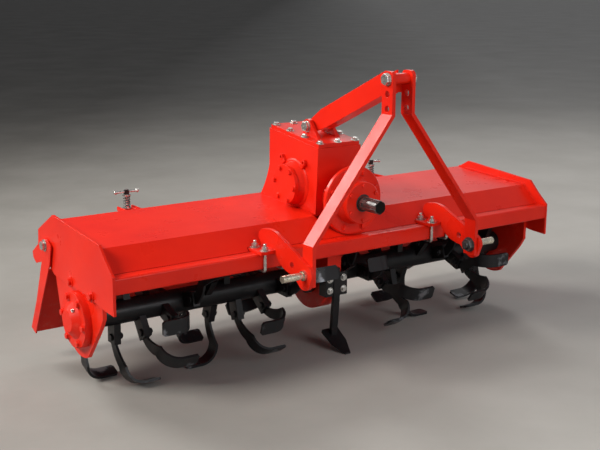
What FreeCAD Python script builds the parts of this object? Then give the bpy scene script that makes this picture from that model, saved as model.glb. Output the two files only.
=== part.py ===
import FreeCAD, Part
import math
import os

from FreeCAD import Vector

os.makedirs("parts", exist_ok=True)

# A three-point-linkage rotary tiller with a centre gearbox.
# Millimetres. X runs along the rotor, the linkage faces -Y, Z is up.
# Sections are drawn with y measured from the rotor axis and z from the ground;
# every piece is then moved by FOOTPRINT_SHIFT, so that the origin lies on the
# ground at the middle of the machine's footprint.
FOOTPRINT_SHIFT = 44.3

# Rotor
BLADE_SWING_R = 230.0
ROTOR_Z = 230.0
ROTOR_TUBE_R = 38.0
ROTOR_TUBE_WALL = 8.0
STUB_R = 25.0
STUB_REACH = 14.0
HUB_R = 30.0
HUB_FLANGE_R = 58.0
HUB_FLANGE_T = 12.0
RUNNING_CLEARANCE = 0.05
SIDE_PLAY = 1.0
SWING_GAP = 5.0

# Ends of the machine
HALF_WIDTH = 870.0
END_PLATE_T = 8.0
ARM_T = 12.0
ARM_FOOT_R = 119.0
HOUSING_R = 86.0
HOUSING_T = 14.0
CAP_FLANGE_T = 8.0
CAP_CONE_R = 58.0
CAP_NOSE_R = 34.0
CAP_NOSE_T = 20.0
ARM_BOLT_R = 7.0
ARM_BOLTS = [(41.0, 336.0), (-107.0, 327.0)]
END_TOP_REAR = (160.0, 518.0)
END_TOP_FRONT = (-168.0, 494.0)
END_FRONT_MARGIN = 2.0
END_BOTTOM_Z = 305.0

# Deck and beams
SHEET_T = 4.0
DECK_REAR_LIP = (266.0, 446.0)
DECK_REAR_EDGE = (211.0, 490.0)
DECK_FRONT_EDGE = (-140.0, 474.0)
BEAM_DEPTH = 45.0
BEAM_HEIGHT = 50.0
BEAM_BOTTOM = 363.0
BEAM_WALL = 5.0
BEAM_CORNER_R = 7.0
DECK_FIT = 3.0
RAIL_SIZE = 30.0
RAIL_WALL = 4.0

# Gearbox and lower gear case
CASE_HALF = 86.0
CASE_BOTTOM = 468.0
CASE_FRONT = -122.0
CASE_TOP_FRONT = (-135.0, 691.0)
CASE_TOP_REAR = (145.0, 726.0)
CASE_WAIST_Z = 600.0
CASE_FOOT_REAR = 205.0
CASE_FOOT_Z = 486.0
COVER_T = 12.5
COVER_INSET = 4.0
SIDE_COVER_Z = 559.0
SIDE_BOSS_R = 76.0
SIDE_COVER_R = 65.0
SIDE_BOSS_LENGTH = 28.0
SIDE_COVER_T = 12.0
SHAFT_Z = 527.0
INPUT_BOSS_R = 102.0
INPUT_BOSS_FRONT = -190.0
INPUT_FLANGE_R = 112.0
INPUT_FLANGE_T = 24.0
NOSE_Y = -262.0
NOSE_R = 68.0
NOSE_T = 14.0
CONE_R = 52.0
LOWER_CASE_R = 112.0
LOWER_CASE_HALF = 28.0

# Power take-off shaft, 1 3/4 inch with six splines behind a plain journal
PTO_R = 22.2
PTO_SPLINE_R = 22.1
PTO_ROOT_R = 19.0
PTO_SPLINE_WIDTH = 11.0
PTO_SPLINES = 6
PTO_TIP_Y = -348.0
PTO_CHAMFER = 2.5
PTO_JOURNAL = 16.0
PTO_SEAT_R = 20.0
PTO_SEAT_DEPTH = 60.0
PTO_FACE_GAP = 1.0

# Linkage: lower pins, hitch plates, mast and strut
SHOULDER_HALF = 341.5
HITCH_PLATE_T = 12.0
PIN_Y = -420.0
PIN_Z = 380.0
PIN_R = 11.0
PIN_SHANK_R = 10.5
PIN_REACH = 78.0
PIN_COLLAR_R = 15.0
PIN_COLLAR_T = 8.0
PIN_NUT_R = 18.0
PIN_NUT_T = 14.0
SPARE_HOLE = (-357.0, 397.0)
SPARE_HOLE_R = 9.0
BAR_T = 12.0
BAR_WIDTH = 50.0
BAR_FOOT_Z = 346.0
BAR_LOWER_BEND_Z = 468.0
BAR_HEAD = 128.0
BAR_TOP_R = 16.0
BAR_TOP_Z = 958.0
MAST_HALF = 44.0
MAST_PIN_DROP = 24.0
TOP_LINK_R = 9.75
TOP_LINK_DROPS = [68.0, 112.0]
MAST_PIN_R = 10.0
MAST_SPACER_R = 16.0
LUG_PIN_Y = -14.0
LUG_PIN_Z = 746.0
STRUT_HALF = 25.0
STRUT_ABOVE = 34.0
STRUT_BELOW = 29.0
STRUT_T = 6.0
STRUT_END_R = 22.0
STRUT_WEB_START = 70.0
CROSSHEAD_T = 8.0
LUG_T = 12.0
LUG_R = 24.0
LUG_FOOT_FRONT = -75.0
PIN_END_T = 7.0
PIN_END_R = 15.0

# Clamps that hold the hitch plates on the front beam
UBOLT_R = 5.0
UBOLT_BEND = 8.0
UBOLT_HALF_SPREAD = 34.0
UBOLT_TOP_Z = 444.0
FOOT_T = 10.0
FOOT_HALF = 56.0
FOOT_OVERHANG = 18.0
HOLE_CLEARANCE = 0.5

# Trailing board with its hinge and spring rods
HINGE_Y = 209.0
HINGE_Z = 414.0
HINGE_TUBE_R = 14.0
HINGE_BOLT_R = 8.0
HINGE_EAR_R = 32.0
BOARD_T = 4.0
BOARD_FOOT = (330.0, 98.0)
BOARD_LIP = 23.0
BOARD_NOTCH_R = 96.0
BOARD_SIDE_GAP = 5.0
ROD_INSET = 344.0
ROD_R = 6.0
ROD_TOP_Z = 527.0
ROD_EYE_DOWN = 215.0
ROD_EYE_BACK = 60.0
ROD_GUIDE_Y = 351.0
ROD_EYE_R = 13.0
ROD_EYE_T = 14.0
ROD_PIN_R = 6.0
EAR_T = 5.0
EAR_GAP = 0.3
EAR_FOOT = 34.0
GUIDE_TOP_Z = 460.0
GUIDE_T = 5.0
GUIDE_HALF = 29.0
GUIDE_RISE = 8.0
GUIDE_FRONT_Y = 246.0
GUIDE_REAR_Y = 368.5
GUIDE_SLOT_PLAY = 2.0
ROD_SWAY = 5.0
SEAT_GAP = 2.0
SPRING_R = 10.5
SPRING_WIRE_R = 2.0
SPRING_PITCH = 8.6
SPRING_HEIGHT = 36.0
WASHER_R = 15.0
WASHER_T = 3.0
HANDLE_HALF = 40.0
HANDLE_R = 4.0

# Chisel ahead of the lower gear case
CHISEL_WIDTH = 24.0
CHISEL_T = 14.0
CHISEL_Y = -117.0
CHISEL_TOP_Z = 282.0
CHISEL_FOOT_Z = 44.0
CHISEL_LEAN = 12.0
SHOE_HALF = 32.0
SHOE_NOSE_HALF = 11.0
SHOE_TIP = (-196.0, 0.0)
SHOE_BACK = (-92.0, 50.0)
SHOE_T = 12.0
BRACKET_FRONT = -128.0
BRACKET_HALF = 44.0
BRACKET_LOW = 186.0
BRACKET_HIGH = 266.0

# Blades: a flat leg in a socket, swept back and turned sideways at its tip
LEG_WIDTH = 32.0
LEG_T = 8.0
LEG_START_R = 52.0
SOCKET_END_R = 98.0
SOCKET_WALL = 7.0
NECK_LENGTH = 6.0
LEG_BULGE = 9.0
LEG_HOLLOW = 8.0
BEND_INNER_R = 52.0
TIP_REACH = 52.0
TIP_START_DEG = 14.5
TIP_END_DEG = 26.0
TIP_CORNER = 6.0
BLADES_PER_HALF = 20
FIRST_BLADE_X = 93.0
LAST_BLADE_GAP = 21.0
FIRST_BLADE_DEG = -123.75
BLADE_STEP_DEG = 198.0


def put(shape, node):
    moved = shape.copy()
    moved.translate(Vector(0, FOOTPRINT_SHIFT, 0))
    moved.exportStep("parts/" + node + ".step")


def section(points):
    # A closed face in the YZ plane. A point (y, z) ends a line, and
    # (y, z, via_y, via_z) ends an arc that passes through the via point.
    edges = []
    start = Vector(0, points[-1][0], points[-1][1])
    for point in points:
        end = Vector(0, point[0], point[1])
        if len(point) == 4:
            via = Vector(0, point[2], point[3])
            edges.append(Part.Arc(start, via, end).toShape())
        else:
            edges.append(Part.LineSegment(start, end).toShape())
        start = end
    return Part.Face(Part.Wire(edges))


def plate(points, x_from, x_to):
    face = section(points)
    face.translate(Vector(min(x_from, x_to), 0, 0))
    return face.extrude(Vector(abs(x_to - x_from), 0, 0))


def box(x, y, z):
    # Each argument is a (low, high) pair.
    corner = Vector(min(x), min(y), min(z))
    return Part.makeBox(abs(x[1] - x[0]), abs(y[1] - y[0]), abs(z[1] - z[0]), corner)


def x_rod(radius, x_from, x_to, y, z):
    start = Vector(min(x_from, x_to), y, z)
    return Part.makeCylinder(radius, abs(x_to - x_from), start, Vector(1, 0, 0))


def y_rod(radius, y_from, y_to, x, z):
    start = Vector(x, min(y_from, y_to), z)
    return Part.makeCylinder(radius, abs(y_to - y_from), start, Vector(0, 1, 0))


def turned(profile, centre, axis):
    # A solid of revolution from (along, radius) pairs; axis is "X" or "Y".
    points = [Vector(a, r, 0) if axis == "X" else Vector(r, a, 0) for a, r in profile]
    points.append(points[0])
    direction = Vector(1, 0, 0) if axis == "X" else Vector(0, 1, 0)
    solid = Part.Face(Part.makePolygon(points)).revolve(Vector(0, 0, 0), direction, 360)
    solid.translate(centre)
    return solid


def line_offset(start, end, distance):
    # Both ends of a section line moved to its left by the distance.
    dy, dz = end[0] - start[0], end[1] - start[1]
    length = math.hypot(dy, dz)
    ny, nz = -dz / length * distance, dy / length * distance
    return (start[0] + ny, start[1] + nz), (end[0] + ny, end[1] + nz)


def crossing(line_a, line_b):
    (y1, z1), (y2, z2) = line_a
    (y3, z3), (y4, z4) = line_b
    bottom = (y1 - y2) * (z3 - z4) - (z1 - z2) * (y3 - y4)
    a = y1 * z2 - z1 * y2
    b = y3 * z4 - z3 * y4
    return ((a * (y3 - y4) - (y1 - y2) * b) / bottom, (a * (z3 - z4) - (z1 - z2) * b) / bottom)


PLATE_INNER = HALF_WIDTH - END_PLATE_T
ARM_INNER = PLATE_INNER - ARM_T
SIDES = {"left": 1, "right": -1}

# The beam stands as near the rotor as the U-bolts under it may come.
BEND_ABOVE_AXIS = BEAM_BOTTOM - UBOLT_R + UBOLT_BEND - ROTOR_Z
BEND_FROM_AXIS = BLADE_SWING_R + SWING_GAP + UBOLT_BEND + UBOLT_R
BEND_Y = -math.sqrt(BEND_FROM_AXIS**2 - BEND_ABOVE_AXIS**2)
BEAM_REAR = BEND_Y + UBOLT_BEND - UBOLT_R - HOLE_CLEARANCE
BEAM_FRONT = BEAM_REAR - BEAM_DEPTH
BEAM_TOP = BEAM_BOTTOM + BEAM_HEIGHT
FOOT_TOP = BEAM_TOP + FOOT_T


# End plates: cut sheet that closes the deck and carries the arms
def end_plate(side):
    front = BEAM_FRONT - END_FRONT_MARGIN
    outline = [
        END_TOP_REAR,
        END_TOP_FRONT,
        (BEAM_REAR - 2, BEAM_TOP + 42),
        (front, BEAM_TOP + 4),
        (front, END_BOTTOM_Z),
        (-195, END_BOTTOM_Z + 2),
        (-60, END_BOTTOM_Z + 18),
        (90, END_BOTTOM_Z + 19),
        (165, END_BOTTOM_Z + 25),
        (HINGE_Y + 13, HINGE_Z - 52),
        (HINGE_Y + 77, HINGE_Z - 29),
        (HINGE_Y + 69, HINGE_Z + 37),
    ]
    shape = plate(outline, side * PLATE_INNER, side * HALF_WIDTH)
    for y, z in ARM_BOLTS:
        shape = shape.cut(x_rod(ARM_BOLT_R, side * PLATE_INNER, side * HALF_WIDTH, y, z))
    bore_r = HINGE_BOLT_R + RUNNING_CLEARANCE
    hole = x_rod(bore_r, side * PLATE_INNER, side * HALF_WIDTH, HINGE_Y, HINGE_Z)
    return shape.cut(hole)


# Side arms: thick plates that hang the rotor bearings below the end plates
def side_arm(side):
    low = ROTOR_Z - ARM_FOOT_R
    outline = [
        (160, 408),
        (178, 348),
        (146, ROTOR_Z - 10),
        (46, low + 10),
        (-46, low + 10, 0, low),
        (-139, ROTOR_Z + 4),
        (-162, ROTOR_Z + 41),
        (-162, 408),
    ]
    shape = plate(outline, side * ARM_INNER, side * PLATE_INNER)
    bore_r = STUB_R + RUNNING_CLEARANCE
    shape = shape.cut(x_rod(bore_r, side * ARM_INNER, side * PLATE_INNER, 0, ROTOR_Z))
    for y, z in ARM_BOLTS:
        shape = shape.cut(x_rod(ARM_BOLT_R, side * ARM_INNER, side * PLATE_INNER, y, z))
    return shape


def bearing_housing(side):
    bore_r = STUB_R + RUNNING_CLEARANCE
    profile = [(0, bore_r), (0, HOUSING_R), (side * HOUSING_T, HOUSING_R), (side * HOUSING_T, bore_r)]
    return turned(profile, Vector(side * PLATE_INNER, 0, ROTOR_Z), "X")


def bearing_cap(side):
    reach = CAP_FLANGE_T + CAP_NOSE_T
    profile = [
        (0, 0),
        (0, HOUSING_R),
        (side * CAP_FLANGE_T, HOUSING_R),
        (side * CAP_FLANGE_T, CAP_CONE_R),
        (side * reach, CAP_NOSE_R),
        (side * reach, 0),
    ]
    return turned(profile, Vector(side * (PLATE_INNER + HOUSING_T), 0, ROTOR_Z), "X")


for name, side in SIDES.items():
    put(end_plate(side), "end_plate_" + name)
    put(side_arm(side), "side_arm_" + name)
    put(bearing_housing(side), "bearing_housing_" + name)
    put(bearing_cap(side), "bearing_cap_" + name)


# Deck: one sheet bent over the rotor, its front edge standing on the beam
def deck():
    foot = (BEAM_REAR, BEAM_TOP)
    outer = [DECK_REAR_LIP, DECK_REAR_EDGE, DECK_FRONT_EDGE, foot]
    inner = []
    lines = [line_offset(a, b, SHEET_T) for a, b in zip(outer, outer[1:])]
    inner.append(lines[0][0])
    for first, second in zip(lines, lines[1:]):
        inner.append(crossing(first, second))
    inner.append(lines[-1][1])
    shape = plate(outer + inner[::-1], -PLATE_INNER, PLATE_INNER)
    case_hole = (CASE_FRONT - DECK_FIT, CASE_FOOT_REAR + DECK_FIT)
    hole_z = (CASE_BOTTOM - 40, CASE_FOOT_Z + 40)
    shape = shape.cut(box((-CASE_HALF, CASE_HALF), case_hole, hole_z))
    carrier_y = (INPUT_BOSS_FRONT - INPUT_FLANGE_T - DECK_FIT, CASE_FRONT)
    shape = shape.cut(y_rod(INPUT_FLANGE_R + DECK_FIT, *carrier_y, 0, SHAFT_Z))
    for side in SIDES.values():
        middle = side * (SHOULDER_HALF - HITCH_PLATE_T / 2)
        slot_x = (middle - FOOT_HALF - DECK_FIT, middle + FOOT_HALF + DECK_FIT)
        slot_y = (BEAM_REAR - 20, BEAM_REAR + FOOT_OVERHANG + DECK_FIT)
        shape = shape.cut(box(slot_x, slot_y, (BEAM_TOP - 12, FOOT_TOP + 1)))
        for leg_x, leg_y in ubolt_legs(side):
            low = Vector(leg_x, leg_y, BEAM_TOP - 12)
            shape = shape.cut(Part.makeCylinder(UBOLT_R + DECK_FIT, UBOLT_TOP_Z - low.z, low))
    return shape


def ubolt_legs(side):
    middle = side * (SHOULDER_HALF - HITCH_PLATE_T / 2)
    rows = (BEAM_FRONT - UBOLT_R - HOLE_CLEARANCE, BEAM_REAR + UBOLT_R + HOLE_CLEARANCE)
    return [(middle + offset, y) for offset in (-UBOLT_HALF_SPREAD, UBOLT_HALF_SPREAD) for y in rows]


def square_tube(y, z, wall, half_length):
    outer = box((-half_length, half_length), y, z)
    inner_y = (y[0] + wall, y[1] - wall)
    inner_z = (z[0] + wall, z[1] - wall)
    return outer.cut(box((-half_length, half_length), inner_y, inner_z))


def front_beam():
    tube = square_tube((BEAM_FRONT, BEAM_REAR), (BEAM_BOTTOM, BEAM_TOP), BEAM_WALL, PLATE_INNER)
    corners = [edge for edge in tube.Edges if on_corner(edge)]
    return tube.makeFillet(BEAM_CORNER_R, corners)


def on_corner(edge):
    # True for the beam's four long outer edges.
    middle = edge.BoundBox.Center
    at_y = min(abs(middle.y - BEAM_FRONT), abs(middle.y - BEAM_REAR)) < 0.1
    at_z = min(abs(middle.z - BEAM_BOTTOM), abs(middle.z - BEAM_TOP)) < 0.1
    return edge.BoundBox.XLength > PLATE_INNER and at_y and at_z


put(deck(), "deck")
put(front_beam(), "front_beam")


# Rear rail: a square tube under the deck's rear lip
def rear_rail():
    y_low = DECK_REAR_LIP[0] - 4 - RAIL_SIZE
    z_high = DECK_REAR_LIP[1] - 8
    return square_tube((y_low, y_low + RAIL_SIZE), (z_high - RAIL_SIZE, z_high), RAIL_WALL, PLATE_INNER)


put(rear_rail(), "rear_rail")


# Gearbox
def case_top(y, above=0.0):
    # Height of the case's sloping top face, or of a line above it.
    (y_front, z_front), (y_rear, z_rear) = CASE_TOP_FRONT, CASE_TOP_REAR
    slope = (z_rear - z_front) / (y_rear - y_front)
    return z_front + (y - y_front) * slope + above * math.hypot(1, slope)


def gearbox_case():
    rear = CASE_TOP_REAR[0] + 2
    outline = [
        CASE_TOP_FRONT,
        (CASE_FRONT, CASE_BOTTOM),
        (CASE_FOOT_REAR, CASE_BOTTOM),
        (CASE_FOOT_REAR, CASE_FOOT_Z),
        (rear, CASE_WAIST_Z, rear + 24, CASE_WAIST_Z - 60),
        CASE_TOP_REAR,
    ]
    return plate(outline, -CASE_HALF, CASE_HALF)


def gearbox_cover():
    half = CASE_HALF - COVER_INSET
    front, rear = CASE_TOP_FRONT[0] + COVER_INSET, CASE_TOP_REAR[0] - COVER_INSET
    outline = [
        (front, case_top(front)),
        (rear, case_top(rear)),
        (rear, case_top(rear, COVER_T)),
        (front, case_top(front, COVER_T)),
    ]
    return plate(outline, -half, half)


def side_cover(side):
    reach = SIDE_BOSS_LENGTH + SIDE_COVER_T
    neck = SIDE_COVER_R - 5
    profile = [
        (0, 0),
        (0, SIDE_BOSS_R),
        (side * SIDE_BOSS_LENGTH, neck),
        (side * SIDE_BOSS_LENGTH, SIDE_COVER_R),
        (side * reach, SIDE_COVER_R),
        (side * reach, 0),
    ]
    return turned(profile, Vector(side * CASE_HALF, 0, SIDE_COVER_Z), "X")


def input_carrier():
    # A boss on the case, the big flange, and a cone that ends in the nose.
    flange_front = INPUT_BOSS_FRONT - INPUT_FLANGE_T
    face = CASE_FRONT - 2
    profile = [
        (face, PTO_SEAT_R),
        (face, INPUT_BOSS_R),
        (INPUT_BOSS_FRONT, INPUT_BOSS_R - 4),
        (INPUT_BOSS_FRONT, INPUT_FLANGE_R),
        (flange_front + 3, INPUT_FLANGE_R),
        (flange_front, INPUT_FLANGE_R - 3),
        (flange_front, NOSE_R + 6),
        (NOSE_Y + NOSE_T, CONE_R),
        (NOSE_Y + NOSE_T, NOSE_R),
        (NOSE_Y + 3, NOSE_R),
        (NOSE_Y, NOSE_R - 3),
        (NOSE_Y, PTO_SEAT_R),
    ]
    turned_part = turned(profile, Vector(0, 0, SHAFT_Z), "Y")
    return turned_part.cut(gearbox_case())


def pto_shaft():
    journal_y = NOSE_Y - PTO_FACE_GAP
    spline_y = journal_y - PTO_JOURNAL
    profile = [
        (NOSE_Y + PTO_SEAT_DEPTH, 0),
        (NOSE_Y + PTO_SEAT_DEPTH, PTO_SEAT_R - RUNNING_CLEARANCE),
        (journal_y, PTO_SEAT_R - RUNNING_CLEARANCE),
        (journal_y, PTO_R),
        (spline_y, PTO_R),
        (spline_y, PTO_ROOT_R),
        (PTO_TIP_Y, PTO_ROOT_R),
        (PTO_TIP_Y, 0),
    ]
    shaft = turned(profile, Vector(0, 0, SHAFT_Z), "Y")
    tooth_profile = [
        (spline_y, 0),
        (spline_y, PTO_SPLINE_R),
        (PTO_TIP_Y + PTO_CHAMFER, PTO_SPLINE_R),
        (PTO_TIP_Y, PTO_SPLINE_R - PTO_CHAMFER),
        (PTO_TIP_Y, 0),
    ]
    envelope = turned(tooth_profile, Vector(0, 0, SHAFT_Z), "Y")
    half = PTO_SPLINE_WIDTH / 2
    for index in range(PTO_SPLINES):
        tooth = box((-half, half), (PTO_TIP_Y, spline_y), (0, PTO_R + 2))
        tooth.rotate(Vector(0, 0, 0), Vector(0, 1, 0), index * 360 / PTO_SPLINES)
        tooth.translate(Vector(0, 0, SHAFT_Z))
        shaft = shaft.fuse(tooth.common(envelope))
    return shaft.removeSplitter()


def lower_gear_case():
    r = LOWER_CASE_R
    outline = [
        (-r - 6, CASE_BOTTOM),
        (-r, ROTOR_Z),
        (r, ROTOR_Z, 0, ROTOR_Z - r),
        (r + 6, CASE_BOTTOM),
    ]
    shape = plate(outline, -LOWER_CASE_HALF, LOWER_CASE_HALF)
    return shape.cut(x_rod(HUB_R + RUNNING_CLEARANCE, -LOWER_CASE_HALF, LOWER_CASE_HALF, 0, ROTOR_Z))


put(gearbox_case(), "gearbox_case")
put(gearbox_cover(), "gearbox_cover")
for name, side in SIDES.items():
    put(side_cover(side), "side_cover_" + name)
put(input_carrier(), "input_carrier")
put(pto_shaft(), "pto_shaft")
put(lower_gear_case(), "lower_gear_case")


# Chisel: a bar bolted ahead of the lower gear case, with a pointed shoe
def chisel():
    half = CHISEL_WIDTH / 2
    front = CHISEL_Y - CHISEL_T
    shank = plate([
        (front, CHISEL_TOP_Z),
        (CHISEL_Y, CHISEL_TOP_Z),
        (CHISEL_Y, BRACKET_LOW - 10),
        (CHISEL_Y + CHISEL_LEAN, CHISEL_FOOT_Z),
        (front + CHISEL_LEAN, CHISEL_FOOT_Z),
        (front, BRACKET_LOW - 10),
    ], -half, half)
    tip_y, tip_z = SHOE_TIP
    back_y, back_z = SHOE_BACK
    shoe = plate([
        (tip_y, tip_z),
        (tip_y + 3, tip_z + 4),
        (back_y, back_z + SHOE_T, (tip_y + back_y) / 2 + 6, (tip_z + back_z) / 2 + SHOE_T - 4),
        (back_y + 4, back_z),
    ], -SHOE_HALF, SHOE_HALF)
    # Seen from above, the shoe narrows to its nose.
    plan = [
        (-SHOE_HALF, back_y + 5),
        (SHOE_HALF, back_y + 5),
        (SHOE_HALF, (tip_y + back_y) / 2),
        (SHOE_NOSE_HALF, tip_y - 1),
        (-SHOE_NOSE_HALF, tip_y - 1),
        (-SHOE_HALF, (tip_y + back_y) / 2),
    ]
    corners = [Vector(x, y, tip_z - 1) for x, y in plan + plan[:1]]
    narrowed = Part.Face(Part.makePolygon(corners)).extrude(Vector(0, 0, CHISEL_TOP_Z))
    return shank.fuse(shoe.common(narrowed)).removeSplitter()


def chisel_bracket():
    # A block on the case's front with an open slot that the shank lies in.
    half = CHISEL_WIDTH / 2
    block = box((-BRACKET_HALF, BRACKET_HALF), (BRACKET_FRONT, -90), (BRACKET_LOW, BRACKET_HIGH))
    slot = box((-half, half), (BRACKET_FRONT - 1, CHISEL_Y), (BRACKET_LOW - 1, BRACKET_HIGH + 1))
    return block.cut(slot).cut(lower_case)


lower_case = lower_gear_case()
put(chisel(), "chisel")
put(chisel_bracket(), "chisel_bracket")


# Hitch plates: cranked plates clamped on the beam, with the lower link pins
def hitch_plate(side):
    foot_front = BEAM_FRONT - FOOT_OVERHANG - 2
    outline = [
        (BEAM_REAR + 7, FOOT_TOP),
        (BEAM_REAR + 28, FOOT_TOP + 21),
        (BEAM_REAR - 3, FOOT_TOP + 56, BEAM_REAR + 21, FOOT_TOP + 44),
        (PIN_Y + 130, PIN_Z + 91, PIN_Y + 166, PIN_Z + 102),
        (PIN_Y - 8, PIN_Z + 33, PIN_Y + 66, PIN_Z + 65),
        (PIN_Y - 37, PIN_Z, PIN_Y - 31, PIN_Z + 21),
        (PIN_Y - 23, PIN_Z - 35),
        (PIN_Y + 24, PIN_Z - 39, PIN_Y - 2, PIN_Z - 46),
        (PIN_Y + 57, PIN_Z - 13),
        (PIN_Y + 110, PIN_Z - 2, PIN_Y + 84, PIN_Z - 10),
        (foot_front, BEAM_TOP - 4, PIN_Y + 127, PIN_Z + 9),
        (foot_front, FOOT_TOP),
    ]
    inner = side * (SHOULDER_HALF - HITCH_PLATE_T)
    shape = plate(outline, inner, side * SHOULDER_HALF)
    shape = shape.cut(x_rod(PIN_SHANK_R, inner, side * SHOULDER_HALF, PIN_Y, PIN_Z))
    return shape.cut(x_rod(SPARE_HOLE_R, inner, side * SHOULDER_HALF, *SPARE_HOLE))


def hitch_pin(side):
    inner = SHOULDER_HALF - HITCH_PLATE_T - BAR_T
    collar = SHOULDER_HALF + PIN_COLLAR_T
    profile = [
        (side * (inner - PIN_NUT_T), 0),
        (side * (inner - PIN_NUT_T), PIN_NUT_R),
        (side * inner, PIN_NUT_R),
        (side * inner, PIN_SHANK_R),
        (side * SHOULDER_HALF, PIN_SHANK_R),
        (side * SHOULDER_HALF, PIN_COLLAR_R),
        (side * collar, PIN_COLLAR_R),
        (side * collar, PIN_R),
        (side * (SHOULDER_HALF + PIN_REACH), PIN_R),
        (side * (SHOULDER_HALF + PIN_REACH), 0),
    ]
    return turned(profile, Vector(0, PIN_Y, PIN_Z), "X")


def foot_plate(side):
    middle = side * (SHOULDER_HALF - HITCH_PLATE_T / 2)
    x = (middle - FOOT_HALF, middle + FOOT_HALF)
    shape = box(x, (BEAM_FRONT - FOOT_OVERHANG, BEAM_REAR + FOOT_OVERHANG), (BEAM_TOP, FOOT_TOP))
    for leg_x, leg_y in ubolt_legs(side):
        hole = Part.makeCylinder(UBOLT_R + HOLE_CLEARANCE, FOOT_T, Vector(leg_x, leg_y, BEAM_TOP))
        shape = shape.cut(hole)
    return shape


def u_bolts(side):
    legs = ubolt_legs(side)
    bend = UBOLT_BEND
    solids = []
    for (x, y_front), (_, y_rear) in (legs[:2], legs[2:]):
        low = BEAM_BOTTOM - UBOLT_R
        corner = bend * (1 - math.sqrt(0.5))
        path = Part.Wire([
            Part.LineSegment(Vector(x, y_front, UBOLT_TOP_Z), Vector(x, y_front, low + bend)).toShape(),
            Part.Arc(
                Vector(x, y_front, low + bend),
                Vector(x, y_front + corner, low + corner),
                Vector(x, y_front + bend, low),
            ).toShape(),
            Part.LineSegment(Vector(x, y_front + bend, low), Vector(x, y_rear - bend, low)).toShape(),
            Part.Arc(
                Vector(x, y_rear - bend, low),
                Vector(x, y_rear - corner, low + corner),
                Vector(x, y_rear, low + bend),
            ).toShape(),
            Part.LineSegment(Vector(x, y_rear, low + bend), Vector(x, y_rear, UBOLT_TOP_Z)).toShape(),
        ])
        circle = Part.Wire([Part.makeCircle(UBOLT_R, Vector(x, y_front, UBOLT_TOP_Z), Vector(0, 0, 1))])
        solids.append(path.makePipeShell([circle], True, False))
    return Part.makeCompound(solids)


# Mast: two flat bars cranked inwards to the top link
BAR_UPPER_BEND_Z = BAR_TOP_Z - BAR_HEAD
MAST_PIN_Z = BAR_TOP_Z - MAST_PIN_DROP
BAR_REAR = PIN_Y + BAR_WIDTH / 2
CROSSHEAD_REAR = BAR_REAR + CROSSHEAD_T


def mast_bar(side):
    foot = SHOULDER_HALF - HITCH_PLATE_T
    head = MAST_HALF
    outer = [(foot, BAR_FOOT_Z), (foot, BAR_LOWER_BEND_Z), (head, BAR_UPPER_BEND_Z), (head, BAR_TOP_Z)]
    slope = math.hypot(foot - head, BAR_UPPER_BEND_Z - BAR_LOWER_BEND_Z)
    # A bend moves the inner face along the bar by T * tan(half the bend angle).
    angle = math.acos((BAR_UPPER_BEND_Z - BAR_LOWER_BEND_Z) / slope)
    shift = BAR_T * math.tan(angle / 2)
    inner = [
        (head - BAR_T, BAR_TOP_Z),
        (head - BAR_T, BAR_UPPER_BEND_Z - shift),
        (foot - BAR_T, BAR_LOWER_BEND_Z - shift),
        (foot - BAR_T, BAR_FOOT_Z),
    ]
    points = [Vector(side * x, PIN_Y - BAR_WIDTH / 2, z) for x, z in outer + inner]
    points.append(points[0])
    shape = Part.Face(Part.makePolygon(points)).extrude(Vector(0, BAR_WIDTH, 0))
    shape = shape.cut(x_rod(PIN_SHANK_R, side * (foot - 20), side * foot, PIN_Y, PIN_Z))
    holes = [(MAST_PIN_Z, MAST_PIN_R)] + [(BAR_TOP_Z - drop, TOP_LINK_R) for drop in TOP_LINK_DROPS]
    for z, radius in holes:
        shape = shape.cut(x_rod(radius, side * (head - 20), side * head, PIN_Y, z))
    top_edges = [edge for edge in shape.Edges if on_bar_top(edge)]
    return shape.makeFillet(BAR_TOP_R, top_edges)


def on_bar_top(edge):
    # True for the two edges across the bar's thickness at its top end.
    span = edge.BoundBox
    return span.ZMin > BAR_TOP_Z - 0.1 and span.XLength > BAR_T - 0.1 and span.YLength < 0.1


def cross_pin(reach, y, z):
    # A pin with a head at each end.
    pin = x_rod(MAST_PIN_R, -reach, reach, y, z)
    ends = [x_rod(PIN_END_R, side * reach, side * (reach + PIN_END_T), y, z) for side in SIDES.values()]
    return pin.fuse(ends).removeSplitter()


def on_strut(down, above):
    # A section point given by its distance down the strut's pin line from
    # the mast pin, and its height square to that line.
    run, drop = LUG_PIN_Y - PIN_Y, MAST_PIN_Z - LUG_PIN_Z
    length = math.hypot(run, drop)
    y, z = run / length, -drop / length
    return (PIN_Y + down * y - above * z, MAST_PIN_Z + down * z + above * y)


def lug_bore():
    return x_rod(MAST_PIN_R + RUNNING_CLEARANCE, -MAST_HALF, MAST_HALF, LUG_PIN_Y, LUG_PIN_Z)


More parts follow.
